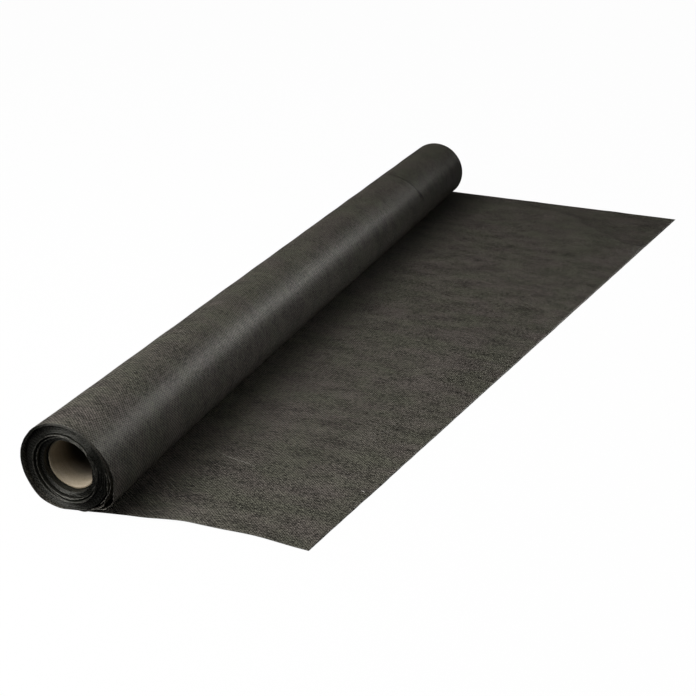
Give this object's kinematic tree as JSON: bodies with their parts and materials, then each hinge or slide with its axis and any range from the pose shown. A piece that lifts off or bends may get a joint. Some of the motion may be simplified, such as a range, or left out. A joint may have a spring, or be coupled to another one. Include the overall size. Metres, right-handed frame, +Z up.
{
  "type": "weed control fabric roll",
  "caption": "Roll of black nonwoven weed control fabric wound on a cardboard core, its free end laid out flat on the ground from under the roll.",
  "frame": {"origin": "on the ground under the middle of the roll, on the flat foot that the roll lies on", "axes": "+Y along the roll from its pictured end to its far end, +X the way the free end lies, +Z up"},
  "size_m": [0.4125, 1.029, 0.0906],
  "materials": {
    "fabric_laid": "black spunbonded nonwoven, matt, with small bond dots in diagonal rows",
    "fabric_loose": "black spunbonded nonwoven, matt with a soft broad sheen",
    "fabric_tight": "cut edges of many layers",
    "fabric_proud": "cut edges of single layers, paler where they catch the light",
    "fabric_inner": "cut edges of the innermost layers",
    "cardboard": "spiral-wound tan board, matt",
    "tape": "plain paper tape"
  },
  "bodies": {
    "slack_turns": {"loose_winds": "fabric_loose"},
    "roll": {"core_tube": "cardboard", "start_tape": "tape", "inner_winds": "fabric_inner", "proud_winds": "fabric_proud", "tight_winds": "fabric_tight"},
    "sheet": {"laid_sheet": "fabric_laid"}
  },
  "joints": [
    {"name": "roll_spin", "type": "hinge", "parent": "slack_turns", "child": "roll", "pos_m": [0, 0, 0.04331], "axis": [0, -1, 0.0035], "range_deg": [0, 360]},
    {"name": "sheet_pull", "type": "slide", "parent": "slack_turns", "child": "sheet", "axis": [1, 0, 0], "range_m": [0, 0.28], "deforming": ["laid_sheet"]}
  ],
  "couplings": [
    {"joint": "sheet_pull", "follows": "roll_spin", "m_per_rad": 0.04408}
  ]
}
